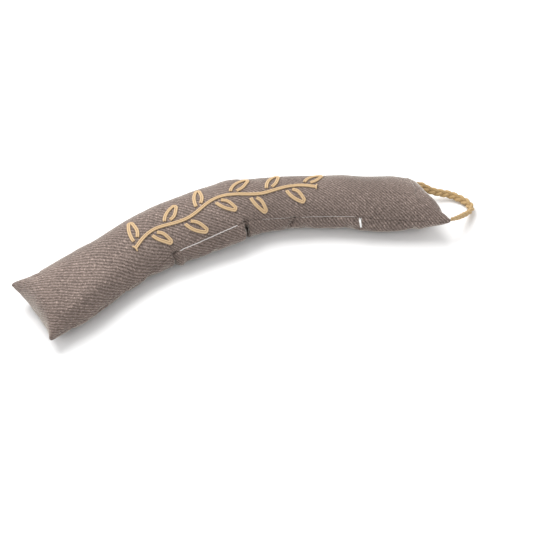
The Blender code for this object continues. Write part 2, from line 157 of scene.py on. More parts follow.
# ---- the sprig's cord, stem, leaves and the knots at the stem's ends
CORD_WIDTH = 0.0072
CORD_FULL = 1.05            # how much fuller the worked cord is than its even form
STEM = SimpleNamespace(start=0.232, end=0.640, turn=64.0, wave=0.0065, pitch=0.165, steps=80)
LEAF_COUNT = 11
LEAF_FIRST = 0.246
LEAF_LAST = 0.622
LEAF_LEAN = 48.0            # degrees between a leaf and the stem
LEAF_SIZES = (0.037, 0.041, 0.035, 0.040, 0.036)
LEAF_HALF = 0.0078          # middle of the cord from the leaf's axis at its widest
LEAF_TIP = 0.0042           # radius of the turn at the tip
LEAF_GAP = 0.0006
KNOT = SimpleNamespace(length=0.0104, radius=0.0019, bow=0.0016, lift=0.0042, droop=0.0024, steps=18)
AROUND_RADIUS = 0.0535      # mean radius of the tube, for arc lengths round it

# ---- handle: points of its middle line and the turn of its flat side
HANDLE_ROUTE = (
    # x, y, z, roll
    (0.3741, 0.2057, 0.0393, 44),
    (0.4035, 0.2013, 0.023, 44),
    (0.4229, 0.2005, 0.017, 42),
    (0.4443, 0.1994, 0.0125, 42),
    (0.4628, 0.1923, 0.0095, 44),
    (0.4788, 0.1802, 0.0085, 48),
    (0.4863, 0.1648, 0.009, 52),
    (0.4805, 0.1474, 0.013, 55),
    (0.465, 0.1273, 0.024, 58),
    (0.4474, 0.1032, 0.041, 60),
    (0.4329, 0.0849, 0.0557, 60),
)
PLAIT_STEP = 0.0011
HELD_SIZE = 0.56            # size of the plait where the corners hold it, as a share
HELD_BACK = 0.013           # run to its full size at the back corner
HELD_FRONT = 0.060

# ---- tape
TAPE_STATION = 0.7335
TAPE_FORK = 0.0032
TAPE_SPREAD = 0.0015
TAPE_LEAN = 0.16

# ---- twill: ribs per metre along the seam and round the cloth, as it lies
RIBS = (
    # station, along, round, change of the second with the distance from the seam, round below the seam
    (0, 98, 194, -650, 165),
    (0.03, 106, 194, -637, 165),
    (0.06, 116, 181, -630, 160),
    (0.1, 121, 168, -629, 152),
    (0.15, 116, 152, -614, 145),
    (0.2, 119, 141, -587, 138),
    (0.25, 118, 138, -544, 135),
    (0.32, 116, 138, -453, 133),
    (0.4, 116, 136, -310, 143),
    (0.48, 108, 144, -107, 130),
    (0.56, 113, 154, 141, 110),
    (0.6, 119, 154, 274, 94),
    (0.64, 126, 152, 407, 90),
    (0.72, 134, 144, 640, 90),
    (0.8, 156, 120, 820, 90),
    (0.883, 165, 100, 900, 95),
)
RIBS_ROUND = 138.0          # at the back
UNDERSIDE = 262.0           # degrees of turn past which the twill is counted down from the seam
RIBS_SPAN = (-0.15, 1.05)   # stations between which the ribs are counted
RIBS_STEP = 0.004


# ---- sizes and colours that a user may change
def measure(name, description, default, unit="LENGTH"):
    return FloatProperty(name=name, description=description, default=default, unit=unit)


def shade_of(name, description, default):
    return FloatVectorProperty(
        name=name, description=description, default=default, subtype="COLOR", size=3, min=0.0, max=1.0,
    )


class ExcluderCover(PropertyGroup):
    ring_step: measure("Ring step", "Spacing of the cover's sections before it is smoothed", 0.0042)
    around_step: measure("Around step", "Spacing of the cover's points round a section", 0.0044)
    pressure: measure("Pressure", "How hard the filling presses on the cloth", 4.0, "NONE")
    swell: measure("Swell", "The most that stuffing may move the cloth", 0.0026)
    spare: FloatProperty(
        name="Spare cloth", description="Share by which the cloth is larger than its form", default=0.035,
        subtype="FACTOR",
    )
    pucker: measure("Pucker", "Height of the puckers beside the seams", 0.00045)
    yarn: measure("Yarn", "Spacing of the twill's yarns", 0.00182)
    pale: shade_of("Pale yarn", "Colour of the weft", (0.200, 0.155, 0.135))
    dark: shade_of("Dark yarn", "Colour of the warp", (0.112, 0.085, 0.073))


class ExcluderSprig(PropertyGroup):
    step: measure("Step", "Spacing of the rings along a cord", 0.0007)
    lay: measure("Lay", "Length over which a cord twists once", 0.0075)
    sink: measure("Sink", "How far a cord presses into the cloth", 0.0003)
    colour: shade_of("Cord", "Colour of the sewn-down cord", (0.700, 0.500, 0.290))


class ExcluderHandle(PropertyGroup):
    strand: measure("Strand", "Radius of one strand of the plait", 0.0036)
    half_width: measure("Half width", "How far a strand swings to each side", 0.0046)
    half_depth: measure("Half depth", "How far a strand passes over and under", 0.0021)
    pitch: measure("Pitch", "Length in which a strand swings across and back", 0.045)
    lay: measure("Lay", "Length over which a strand twists once", 0.016)
    colour: shade_of("Plait", "Colour of the plaited jute", (0.790, 0.545, 0.265))


class ExcluderTape(PropertyGroup):
    length: measure("Length", "Length that hangs", 0.0200)
    depth: measure("Depth", "Width of the tape", 0.0090)
    layer: measure("Layer", "Thickness of one layer", 0.0015)
    colour: shade_of("Tape", "Colour of the tape", (0.88, 0.88, 0.87))


class ExcluderStage(PropertyGroup):
    floor: shade_of("Floor", "Colour of the floor", (0.88, 0.88, 0.88))
    key_power: measure("Key", "Power of the soft light above", 50.0, "POWER")
    fill_power: measure("Fill", "Power of the soft light in front", 12.0, "POWER")
    side_power: measure("Side", "Power of the soft light at the right", 5.0, "POWER")
    sky: measure("Sky", "Strength of the light all round", 0.745, "NONE")


# ---- surface of the cover
def smooth_row(rows, at):
    """The other columns of a table at a station, on a smooth curve through its rows."""
    last = len(rows) - 1
    at = min(max(at, rows[0][0]), rows[last][0])
    k = 0
    while k < last - 1 and at > rows[k + 1][0]:
        k += 1
    span = rows[k + 1][0] - rows[k][0]
    q = (at - rows[k][0]) / span
    before, after = rows[max(k - 1, 0)], rows[min(k + 2, last)]
    found = []
    for column in range(1, len(rows[0])):
        here, there = rows[k][column], rows[k + 1][column]
        slope_here = (there - before[column]) / (rows[k + 1][0] - before[0]) * span
        slope_there = (after[column] - here) / (after[0] - rows[k][0]) * span
        found.append(
            (2 * q**3 - 3 * q**2 + 1) * here + (q**3 - 2 * q**2 + q) * slope_here
            + (-2 * q**3 + 3 * q**2) * there + (q**3 - q**2) * slope_there
        )
    return found


def middle_line(step=0.0025):
    """Points of the tube's middle line in plan, worked out from its headings."""
    count = round(COVER_LENGTH / step)
    step = COVER_LENGTH / count
    points = [LINE_START]
    for k in range(count):
        heading = math.radians(smooth_row(BEND, (k + 0.5) * step)[0])
        points.append(points[-1] + step * Vector((math.cos(heading), math.sin(heading))))
    return points, step


LINE, LINE_STEP = middle_line()


def crease(table, station, turn):
    """How far a table of creases pulls the cloth in at a place."""
    turn = (turn + 180.0) % 360.0 - 180.0
    depth = 0.0
    for at, level, pull, along, span, lean in table:
        away = (station - at - lean * (turn - level)) / along
        round_it = (turn - level) / span
        if abs(away) < 4.0 and abs(round_it) < 4.0:
            depth += pull * math.exp(-away * away - round_it * round_it)
    return depth


def section_at(station):
    """What all points of the cover at one station share."""
    place = station / LINE_STEP
    k = min(max(int(place), 0), len(LINE) - 2)
    heading = math.radians(smooth_row(BEND, station)[0])
    half_width, half_height, seam_turn = smooth_row(BODY, station)
    left = station < COVER_LENGTH / 2
    end = LEFT_END if left else RIGHT_END
    distance = max(min(station, COVER_LENGTH - station), 0.0)
    grown = (1.0 - (1.0 - min(distance / end.run, 1.0)) ** 2) ** end.power
    wide = min(distance / end.flare, 1.0)
    cut = min(distance / CORNER_RUN, 1.0)
    half_edge = end.half - end.ear + end.ear * math.exp(-((distance / end.ear_run) ** 2))
    half_edge -= CORNER_CUT * (1.0 - math.sqrt(1.0 - (1.0 - cut) ** 2))
    return SimpleNamespace(
        station=station, end=end, grown=grown, half_edge=half_edge,
        half_width=half_width, half_height=half_height, seam_turn=seam_turn,
        place=LINE[k].lerp(LINE[k + 1], place - k),
        along=Vector((math.cos(heading), math.sin(heading))),
        back=Vector((-math.sin(heading), math.cos(heading))),
        slide=smooth_row(SEAM_SLIDE, station)[0],
        wide=wide * wide * (3.0 - 2.0 * wide),
        centre=end.height + grown * (SETTLE * half_height - end.height),
        fade=(1.0 - min(distance / SKEW_RUN, 1.0)) ** 2 * (-1.0 if left else 1.0),
    )


def on_section(cut, turn, unbent=False):
    """A point of the cover's surface on one section; unbent is its place on a straight tube."""
    near = (turn + 180.0) % 360.0 - 180.0
    slid = turn
    if abs(near) < 90.0:
        slid += cut.slide * (0.5 + 0.5 * math.cos(math.radians(2.0 * near)))
    roll = math.radians(cut.seam_turn)
    level = math.radians(slid) + roll
    side = math.cos(math.radians(slid))
    pull = crease(CREASES, cut.station, turn)
    pull += SEAM_GROOVE * max(0.0, 1.0 - abs(near) / SEAM_REACH) ** 1.5
    pull *= cut.grown
    edge_back = -cut.half_edge * side * math.cos(roll)
    edge_up = cut.half_edge * side * math.sin(roll)
    across = edge_back + cut.wide * (-(cut.half_width - pull) * math.cos(level) - edge_back)
    up = edge_up + cut.grown * ((cut.half_height - pull) * math.sin(level) - edge_up)
    end = cut.end
    lateral = max(-1.0, min(1.0, across / end.half))
    out = (-lateral * end.skew - end.draw * (1.0 - abs(lateral) ** end.square)) * cut.fade
    height = max(cut.centre + up, 0.0)
    if unbent:
        return Vector((cut.station + out, across, height))
    return (cut.place + across * cut.back + out * cut.along).to_3d() + Vector((0.0, 0.0, height))


def cover_point(station, turn):
    return on_section(section_at(station), turn)


def cover_normal(station, turn):
    """Outward direction of the cover's form, taken over the width of a cord."""
    ahead = cover_point(station + 0.003, turn) - cover_point(station - 0.003, turn)
    up = cover_point(station, turn + 3.0) - cover_point(station, turn - 3.0)
    return ahead.cross(up).normalized()


def ring_stations(step):
    """Stations of the cover's rings: close together at the sewn ends and in the folds."""
    close = [0.0, 0.0020, 0.0044, 0.0072, 0.0105]
    found = list(close)
    while True:
        here = found[-1]
        in_fold = any(abs(here + step / 2 - row[0]) < 2.4 * row[3] for row in FOLDS)
        size = 0.55 * step if in_fold else step
        if here + size > COVER_LENGTH - close[-1] - 0.4 * step:
            return found + [COVER_LENGTH - value for value in reversed(close)]
        found.append(here + size)


def ring_turns(step):
    """Turns of a ring's points: close together beside the seam, then even."""
    around = 0.360
    half = [value / around for value in (0.0, 0.0013, 0.0029, 0.0050, 0.0078)]
    count = round((0.5 - half[-1]) * around / step)
    gap = (0.5 - half[-1]) / count
    half += [half[-1] + gap * (k + 1) for k in range(count)]
    return [360.0 * value for value in half + [1.0 - value for value in reversed(half[:-1])]]


# ---- small helpers
def linked(name, data):
    made = bpy.data.objects.new(name, data)
    bpy.context.scene.collection.objects.link(made)
    return made


def piece_from(bm, name, surface, smooth=True):
    """A named object from a bmesh, at the origin, with its faces turned outwards."""
    bmesh.ops.recalc_face_normals(bm, faces=bm.faces)
    mesh = bpy.data.meshes.new(name)
    bm.to_mesh(mesh)
    bm.free()
    for polygon in mesh.polygons:
        polygon.use_smooth = smooth
    mesh.materials.append(surface)
    return linked(name, mesh)


def lengths_of(points):
    """Length gone at each point of a row of points."""
    gone = [0.0]
    for p, q in zip(points, points[1:]):
        gone.append(gone[-1] + (q - p).length)
    return gone


def even_places(gone, count):
    """Evenly spaced places along a row of points: which gap each is in, and how far through it."""
    k = 0
    for i in range(count + 1):
        want = gone[-1] * i / count
        while k < len(gone) - 2 and gone[k + 1] < want:
            k += 1
        yield k, min(max((want - gone[k]) / max(gone[k + 1] - gone[k], 1e-9), 0.0), 1.0)


def spline(points, step):
    """Evenly spaced points on a smooth curve through the given ones; a fourth part rides along."""
    fine = []
    last = len(points) - 1
    for k in range(last):
        p0, p1, p2, p3 = (points[min(max(k + d, 0), last)] for d in (-1, 0, 1, 2))
        for i in range(12):
            q = i / 12
            square, cube = 2 * p0 - 5 * p1 + 4 * p2 - p3, 3 * p1 - p0 - 3 * p2 + p3
            fine.append(0.5 * (2 * p1 + (p2 - p0) * q + square * q**2 + cube * q**3))
    fine.append(points[-1])
    gone = lengths_of([point.to_3d() for point in fine])
    count = max(2, round(gone[-1] / step))
    return [fine[k].lerp(fine[k + 1], q) for k, q in even_places(gone, count)]


def along_row(points, outward):
    """For each of a row of points, the directions across it and out of it, square to its run."""
    found = []
    for k, normal in enumerate(outward):
        ahead = (points[min(k + 1, len(points) - 1)] - points[max(k - 1, 0)]).normalized()
        across = normal.cross(ahead).normalized()
        found.append((across, ahead.cross(across).normalized()))
    return found


def closed_radii(radius, count, least, run):
    """Radii of a cord's rings: the full one, but less near its two closed ends."""
    return [min(1.0, least + min(k, count - 1 - k) / run) * radius for k in range(count)]


def cord(bm, middles, frames, radii, lengths, twists, sides, plies=(1.0, 0.0, 1.0), oval=(1.0, 1.0)):
    """Skin a closed cord round its middles; frames are the directions across and out of it, plies the
    least reach, what a ply adds and half their number. Its UV is length in metres and share round."""
    uv = bm.loops.layers.uv.verify()
    least, more, half_count = plies
    rings = []
    for middle, (across, up), radius, twist in zip(middles, frames, radii, twists):
        ring = []
        for k in range(sides):
            angle = 2.0 * math.pi * k / sides
            reach = radius * (least + more * abs(math.cos(half_count * (angle - twist))))
            out = oval[0] * math.cos(angle) * up + oval[1] * math.sin(angle) * across
            ring.append(bm.verts.new(middle + reach * out))
        rings.append(ring)
    for k in range(len(rings) - 1):
        for i in range(sides):
            j = (i + 1) % sides
            face = bm.faces.new((rings[k][i], rings[k + 1][i], rings[k + 1][j], rings[k][j]))
            for loop, (at, place) in zip(face.loops, ((k, i), (k + 1, i), (k + 1, i + 1), (k, i + 1))):
                loop[uv].uv = (lengths[at], place / sides)
    for ring, length in ((rings[0], lengths[0]), (rings[-1][::-1], lengths[-1])):
        for loop in bm.faces.new(ring).loops:
            loop[uv].uv = (length, 0.5)


# ---- materials
class Nodes:
    """Short hand for building a material's nodes."""

    def __init__(self, name):
        self.material = bpy.data.materials.new(name)
        self.material.use_nodes = True
        self.tree = self.material.node_tree
        self.shader = self.tree.nodes["Principled BSDF"]

    def add(self, kind, **settings):
        node = self.tree.nodes.new(kind)
        for key, value in settings.items():
            setattr(node, key, value)
        return node

    def join(self, value, socket):
        """Feed a socket from another one, or with a number or a colour."""
        if isinstance(value, bpy.types.NodeSocket):
            self.tree.links.new(value, socket)
        else:
            socket.default_value = (*value, 1.0) if socket.type == "RGBA" else value

    def fed(self, node, *values, **named):
        """A node with its first inputs fed in order, or the named ones."""
        for value, socket in zip(values, node.inputs):
            self.join(value, socket)
        for key, value in named.items():
            self.join(value, node.inputs[key.replace("_", " ")])
        return node

    def calc(self, operation, *values):
        return self.fed(self.add("ShaderNodeMath", operation=operation), *values).outputs[0]

    def plus(self, a, b):
        return self.calc("ADD", a, b)

    def minus(self, a, b):
        return self.calc("SUBTRACT", a, b)

    def times(self, product, *others):
        for other in others:
            product = self.calc("MULTIPLY", product, other)
        return product

    def wave(self, kind, value, pace):
        """Sine or cosine of a value times its pace."""
        return self.calc(kind, self.times(value, pace))

    def mix(self, share, a, b, blend="MIX"):
        node = self.add("ShaderNodeMix", data_type="RGBA", blend_type=blend)
        return self.fed(node, Factor=share, A=a, B=b).outputs["Result"]

    def shade(self, colour, share):
        """Colour times a plain number that varies over the surface."""
        grey = self.fed(self.add("ShaderNodeCombineColor"), share, share, share)
        return self.mix(1.0, colour, grey.outputs[0], "MULTIPLY")

    def uv(self, name):
        return self.add("ShaderNodeUVMap", uv_map=name).outputs[0]

    def split(self, value):
        """The three parts of a vector."""
        return self.fed(self.add("ShaderNodeSeparateXYZ"), value).outputs[:3]

    def vector(self, x, y, z=0.0):
        return self.fed(self.add("ShaderNodeCombineXYZ"), x, y, z).outputs[0]

    def grain(self, place, scale=1.0, detail=2.0, rough=0.5):
        node = self.add("ShaderNodeTexNoise")
        return self.fed(node, Vector=place, Scale=scale, Detail=detail, Roughness=rough).outputs["Fac"]

    def ramp(self, value, low, high, to_low=0.0, to_high=1.0, smooth=True):
        node = self.add("ShaderNodeMapRange", interpolation_type="SMOOTHSTEP" if smooth else "LINEAR")
        return self.fed(node, value, low, high, to_low, to_high).outputs[0]

    def bump(self, height, distance, strength):
        node = self.fed(self.add("ShaderNodeBump"), Height=height, Distance=distance, Strength=strength)
        self.fed(self.shader, Normal=node.outputs[0])

    def finish(self, colour, roughness, sheen=0.0, sheen_roughness=0.5, tint=(1.0, 1.0, 1.0)):
        self.fed(
            self.shader, Base_Color=colour, Roughness=roughness, Specular_IOR_Level=0.25,
            Sheen_Weight=sheen, Sheen_Roughness=sheen_roughness, Sheen_Tint=tint,
        )
        return self.material


def twill_material(settings):
    """Two-and-two twill: pale weft over dark warp, with slubs, flecks, painted shade in its weave, seams and
    folds, and painted light at its ends.
    """
    n = Nodes("taupe_twill_cloth")
    uv = n.uv("cloth")
    along, around, _ = n.split(uv)
    ribs, yarns, _ = n.split(n.uv("weave"))

    # yarn counts: a across the weft, and b so that (a + b) / 4 counts the ribs
    drift = n.minus(n.grain(uv, 26.0), 0.5)
    quiver = n.minus(n.grain(uv, 170.0, 1.0), 0.5)
    rib = n.plus(n.plus(ribs, n.calc("MULTIPLY_ADD", drift, 0.9, 400.0)), n.times(quiver, 0.68))
    a = n.plus(yarns, n.calc("MULTIPLY_ADD", drift, 0.5, 400.0))
    b = n.plus(n.minus(n.times(rib, 4.0), a), 400.0)
    cell_a, cell_b = n.calc("FLOOR", a), n.calc("FLOOR", b)

    def yarn_height(own, cell, crossing, start):
        """A yarn is round in section, and passes over two of those that cross it, then under two."""
        over = n.calc("MODULO", n.plus(crossing, cell), 4.0)
        up = n.wave("COSINE", n.minus(over, start), math.pi / 2)
        return n.plus(n.times(n.wave("SINE", n.calc("FRACT", own), math.pi), 0.5), n.times(up, 0.5))

    warp, weft = yarn_height(a, cell_a, b, 1.0), yarn_height(b, cell_b, a, 3.0)
    height = n.calc("MAXIMUM", warp, weft)
    pale_share = n.ramp(n.minus(weft, warp), -0.15, 0.15)

    # every crossing has its own tone and thick places in the yarn show as pale flecks; painted light makes
    # the ends paler, and painted shade darkens the low places of the weave, the seams and the deep folds
    tone = n.add("ShaderNodeTexWhiteNoise", noise_dimensions="3D")
    n.join(n.vector(cell_a, cell_b, pale_share), tone.inputs["Vector"])
    slub = n.grain(n.vector(n.times(a, 0.36), n.times(b, 0.44)), 1.0, 2.5, 0.7)
    hollow = n.add("ShaderNodeAttribute", attribute_name="hollow").outputs["Fac"]
    light = n.times(
        # painted shade: the low places of the weave are darker
        n.ramp(height, -0.25, 0.95, 0.77, 1.08, smooth=False),
        n.ramp(tone.outputs["Value"], 0.0, 1.0, 0.72, 1.28, smooth=False),
        n.ramp(n.grain(uv, 8.0, 3.0, 0.6), 0.3, 0.7, 0.92, 1.07),
        n.ramp(slub, 0.34, 0.48, 0.80, 1.0),
        n.calc("MULTIPLY_ADD", n.ramp(slub, 0.54, 0.68), 0.70, 0.93),
        # painted light: the cloth is paler towards both ends
        n.ramp(along, 0.04, 0.30, 1.12, 1.0),
        n.ramp(along, 0.76, 0.87, 1.0, 1.17),
        # painted shade along the front seam and in the deep folds
        n.ramp(around, 0.0, 0.0018, 0.66, 1.0),
        n.ramp(hollow, 0.15, 1.0, 1.0, 0.42),
    )
    n.bump(height, 0.00042, 0.9)
    colour = n.shade(n.mix(pale_share, settings.dark, settings.pale), light)
    return n.finish(colour, 0.92, sheen=1.0, sheen_roughness=0.25, tint=(0.98, 0.93, 0.84))


def jute_material(name, colour, ply_lay, plies, dark=0.70):
    """Twisted jute: slanting fibres, with painted shade that darkens it between the plies and in the hollows.
    """
    n = Nodes(name)
    along, around, _ = n.split(n.uv("UVMap"))
    twist = n.minus(n.times(around, float(plies)), n.calc("DIVIDE", along, ply_lay / plies))
    groove = n.calc("ABSOLUTE", n.wave("SINE", twist, math.pi))
    fibre = n.grain(n.vector(n.times(along, 260.0), n.times(twist, 5.0)), 1.0, 3.0, 0.65)
    patch = n.grain(n.vector(n.times(along, 90.0), n.times(around, 1.5)))
    light = n.times(
        # painted shade in the grooves between the plies, down to dark
        n.ramp(groove, 0.0, 0.45, dark, 1.0),
        n.ramp(fibre, 0.25, 0.75, 0.80, 1.16),
        n.ramp(patch, 0.3, 0.7, 0.92, 1.06),
    )
    rich = [part * share for part, share in zip(colour, (0.86, 0.76, 0.62))]
    shade = n.mix(n.ramp(fibre, 0.35, 0.6, 0.40, 0.0), colour, rich)
    n.bump(n.plus(groove, n.times(fibre, 0.6)), 0.0003, 0.7)
    return n.finish(n.shade(shade, light), 0.82, sheen=0.20, tint=(1.0, 0.93, 0.80))


def thread_material():
    """Smooth pale thread with the slant of its twist."""
    n = Nodes("pale_thread")
    along, around, _ = n.split(n.uv("UVMap"))
    twist = n.minus(around, n.calc("DIVIDE", along, 0.0012))
    groove = n.calc("ABSOLUTE", n.wave("SINE", twist, math.pi))
    n.bump(groove, 0.0001, 0.6)
    # the thread's own colour, darkened by painted shade in the grooves of its twist
    return n.finish(n.shade((0.80, 0.75, 0.72), n.ramp(groove, 0.0, 0.7, 0.70, 1.0)), 0.55, sheen=0.1)


def tape_material(colour):
    """Close woven tape with a fine rib across it."""
    n = Nodes("white_woven_tape")
    place = n.add("ShaderNodeTexCoord").outputs["Object"]
    rib = n.wave("SINE", n.split(place)[2], 2.0 * math.pi / 0.0006)
    fine = n.grain(place, 1800.0)
    # painted shade in the troughs of the rib; the fine grain is the tape's own tone
    light = n.times(n.ramp(rib, -1.0, 1.0, 0.90, 1.0), n.ramp(fine, 0.3, 0.7, 0.93, 1.0))
    n.bump(n.plus(rib, fine), 0.00008, 0.5)
    return n.finish(n.shade(colour, light), 0.6, sheen=0.1)


# ---- the cover
def cloth_alongs(rings, turns, sections):
    """For each ring and turn, the station that the cloth there was cut at; it is longer than the tube
    where it rises from the sewn ends."""
    unbent = [[on_section(section, turn, unbent=True) for turn in turns] for section in sections]
    first = next(k for k, station in enumerate(rings) if station > END_RISE)
    found = [[station] * len(turns) for station in rings]
    for j in range(len(turns)):
        for i in range(first - 1, -1, -1):
            found[i][j] = found[i + 1][j] - (unbent[i + 1][j] - unbent[i][j]).length
        for i in range(len(rings) - first, len(rings)):
            found[i][j] = found[i - 1][j] + (unbent[i][j] - unbent[i - 1][j]).length
    return found


def rib_table():
    """Ribs counted along the seam up to each station."""
    counted = [0.0]
    for k in range(round((RIBS_SPAN[1] - RIBS_SPAN[0]) / RIBS_STEP)):
        counted.append(counted[-1] + RIBS_STEP * smooth_row(RIBS, (k + 0.5) * RIBS_STEP + RIBS_SPAN[0])[0])
    return counted


RIB_COUNT = rib_table()


def ribs_at(along, up):
    """Which rib of the twill passes a place of the cloth, as a number of ribs; below the seam, up is
    less than nothing."""
    place = (along - RIBS_SPAN[0]) / RIBS_STEP
    k = min(max(int(place), 0), len(RIB_COUNT) - 2)
    count = RIB_COUNT[k] + (RIB_COUNT[k + 1] - RIB_COUNT[k]) * (place - k)
    around, change, below = smooth_row(RIBS, along)[1:]
    if up < 0.0:
        return count + below * up
    # the local differences act up to 0.1 m from the seam and fade out by 0.2 m
    near, past = min(up, 0.1), min(max(up - 0.1, 0.0), 0.1)
    spread = near + past - 5.0 * past * past
    bend = 0.5 * near * near + 0.1 * past - 0.5 * past * past
    return count + RIBS_ROUND * up + (around - RIBS_ROUND) * spread + change * bend


def unstuffed_cover(settings, surface):
    """The cover's form as an even grid bent into a tube and sewn shut at its front and ends."""
    rings, turns = ring_stations(settings.ring_step), ring_turns(settings.around_step)
    across, around = len(rings), len(turns)
    sections = [section_at(station) for station in rings]
    form = [[on_section(section, turn) for turn in turns] for section in sections]
    rounds = [lengths_of(ring) for ring in form]
    alongs = cloth_alongs(rings, turns, sections)
    bm = bmesh.new()
    uv = bm.loops.layers.uv.new("cloth")
    weave = bm.loops.layers.uv.new("weave")
    bmesh.ops.create_grid(bm, x_segments=across - 1, y_segments=around - 1, size=0.5, calc_uvs=True)
    at_station = bm.verts.layers.float.new("station")
    at_turn = bm.verts.layers.float.new("turn")
    for vertex in bm.verts:
        i = round((vertex.co.x + 0.5) * (across - 1))
        j = round((vertex.co.y + 0.5) * (around - 1))
        vertex[at_station] = rings[i]
        vertex[at_turn] = turns[j] if turns[j] <= 180.0 else turns[j] - 360.0
        vertex.co = form[i][j]
        vertex.index = i * around + j
    under = next(j for j, turn in enumerate(turns) if turn > UNDERSIDE)
    for face in bm.faces:
        below = max(loop.vert.index % around for loop in face.loops) > under
        for loop in face.loops:
            i, j = divmod(loop.vert.index, around)
            along, up = alongs[i][j], rounds[i][j]
            if below:
                up -= rounds[i][-1]
            loop[uv].uv = (along, abs(up))
            loop[weave].uv = (ribs_at(along, up), along / settings.yarn)
    bmesh.ops.remove_doubles(bm, verts=bm.verts, dist=2e-5)
    sharp = bm.edges.layers.float.new("crease_edge")
    for edge in bm.edges:
        at_end = max(min(v[at_station], COVER_LENGTH - v[at_station]) for v in edge.verts) < 1e-6
        at_seam = max(abs(v[at_turn]) for v in edge.verts) < 0.01
        edge[sharp] = 0.9 if at_end else (0.55 if at_seam else 0.0)
    return piece_from(bm, "cover_cloth", surface)


def numbers(mesh, name):
    values = [0.0] * len(mesh.vertices)
    mesh.attributes[name].data.foreach_get("value", values)
    return values


def stuff(cover, settings):
    """Press the cloth out from inside, held along its seams and where it lies on the floor."""
    mesh = cover.data
    stations, turns = numbers(mesh, "station"), numbers(mesh, "turn")
    held = cover.vertex_groups.new(name="held")
    for k, vertex in enumerate(mesh.vertices):
        end = min(stations[k], COVER_LENGTH - stations[k])
        hold = max(0.0, 1.0 - end / HELD_END)
        if end < 1e-4 or abs(turns[k]) < 0.01 or vertex.co.z < 0.0008:
            hold = 1.0
        elif crease(FOLDS, stations[k], turns[k]) > 0.0015:
            hold = max(hold, 0.7)
        if hold:
            held.add([k], hold, "REPLACE")
    cloth = cover.modifiers.new("stuffing", "CLOTH")
    make = cloth.settings
    make.mass = 0.25
    make.tension_stiffness = make.compression_stiffness = 12.0
    make.shear_stiffness = 6.0
    make.bending_stiffness = 0.25
    make.use_pressure = True
    make.uniform_pressure_force = settings.pressure
    make.shrink_min = make.shrink_max = -settings.spare
    make.vertex_group_mass = held.name
    make.effector_weights.gravity = 0.0
    cloth.collision_settings.use_collision = False
    cloth.point_cache.frame_end = 20
    for step in range(1, 21):
        bpy.context.scene.frame_set(step)
    pressed = cover.evaluated_get(bpy.context.evaluated_depsgraph_get())
    moved = [vertex.co.copy() for vertex in pressed.to_mesh().vertices]
    pressed.to_mesh_clear()
    cover.modifiers.remove(cloth)
    bpy.context.scene.frame_set(1)
    for vertex, place in zip(mesh.vertices, moved):
        shift = place - vertex.co
        if shift.length > settings.swell:
            shift.length = settings.swell
        vertex.co += shift
        vertex.co.z = max(vertex.co.z, 0.0)
    cover.vertex_groups.remove(held)


def sew(cover, settings):
    """Draw in the seams and folds, with small puckers beside them and slight lumps of filling."""
    mesh = cover.data
    mesh.update()
    normals = [vertex.normal.copy() for vertex in mesh.vertices]
    hollow = mesh.attributes.new("hollow", "FLOAT", "POINT").data
    for k, (station, turn) in enumerate(zip(numbers(mesh, "station"), numbers(mesh, "turn"))):
        vertex = mesh.vertices[k]
        end = min(station, COVER_LENGTH - station)
        seam = abs(turn) * 0.001
        pull = crease(FOLDS, station, turn)
        # how deep the fold is here, which the cloth's material turns into painted shade
        hollow[k].value = min(max(pull / HOLLOW_FULL, 0.0), 1.0)
        if vertex.co.z < 0.0006:
            continue
        pull += crease(SWELLS, station, turn)
        pull += SEAM_DRAW * math.exp(-((seam / 0.0022) ** 2))
        pucker = math.sin(station * 430.0 + 2.0 * math.sin(station * 61.0)) * math.exp(-seam / 0.010)
        gather = math.sin(turn * 0.21 + 1.7 * math.sin(turn * 0.043)) * math.exp(-end / 0.016)
        lump = noise.noise(vertex.co * 17.0) * 0.0016 + noise.noise(vertex.co * 41.0) * 0.0005
        inner = min(end / 0.012, 1.0)
        pull += settings.pucker * (pucker * inner + 1.2 * gather * min(end / 0.004, 1.0))
        pull = (pull - lump * inner) * min(vertex.co.z / 0.008, 1.0)
        vertex.co -= pull * normals[k]
        vertex.co.z = max(vertex.co.z, 0.0)
    mesh.update()


def finer(piece):
    """Smooth and refine a piece once, with the modifier applied."""
    smooth = piece.modifiers.new("fine", "SUBSURF")
    smooth.levels = smooth.render_levels = 1
    graph = bpy.context.evaluated_depsgraph_get()
    mesh = bpy.data.meshes.new_from_object(piece.evaluated_get(graph), depsgraph=graph)
    piece.modifiers.remove(smooth)
    piece.data = mesh


class EXCLUDER_OT_cover(Operator):
    """Make the stuffed twill tube"""

    bl_idname = "excluder.cover"
    bl_label = "Stuffed cover"

    def execute(self, context):
        settings = context.scene.excluder_cover
        cover = unstuffed_cover(settings, twill_material(settings))
        stuff(cover, settings)
        sew(cover, settings)
        finer(cover)
        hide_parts("cover")
        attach(cover, "root")
        return {"FINISHED"}


# ---- sewing at the front seam
SEAM_THREADS = (
    # from station, to station, radius, stands out
    (0.322, 0.452, 0.00080, 0.00060),
    (0.519, 0.584, 0.00033, -0.00004),
    (0.608, 0.724, 0.00034, 0.00000),
)
THREAD_STEP = 0.0011
STITCH = 0.0072             # from one dip of the thread into the seam to the next
THREAD_TURN = 0.35          # degrees above the seam


def cloth_surface():
    mesh = bpy.data.objects["cover_cloth"].data
    return BVHTree.FromPolygons([v.co for v in mesh.vertices], [p.vertices for p in mesh.polygons])


def laid_on(surface, station, turn):
    """Where a place of the form lies on the finished cloth, and the outward direction there."""
    point, normal = cover_point(station, turn), cover_normal(station, turn)
    hit = surface.ray_cast(point + 0.03 * normal, -normal, 0.06)[0]
    return hit or point, normal


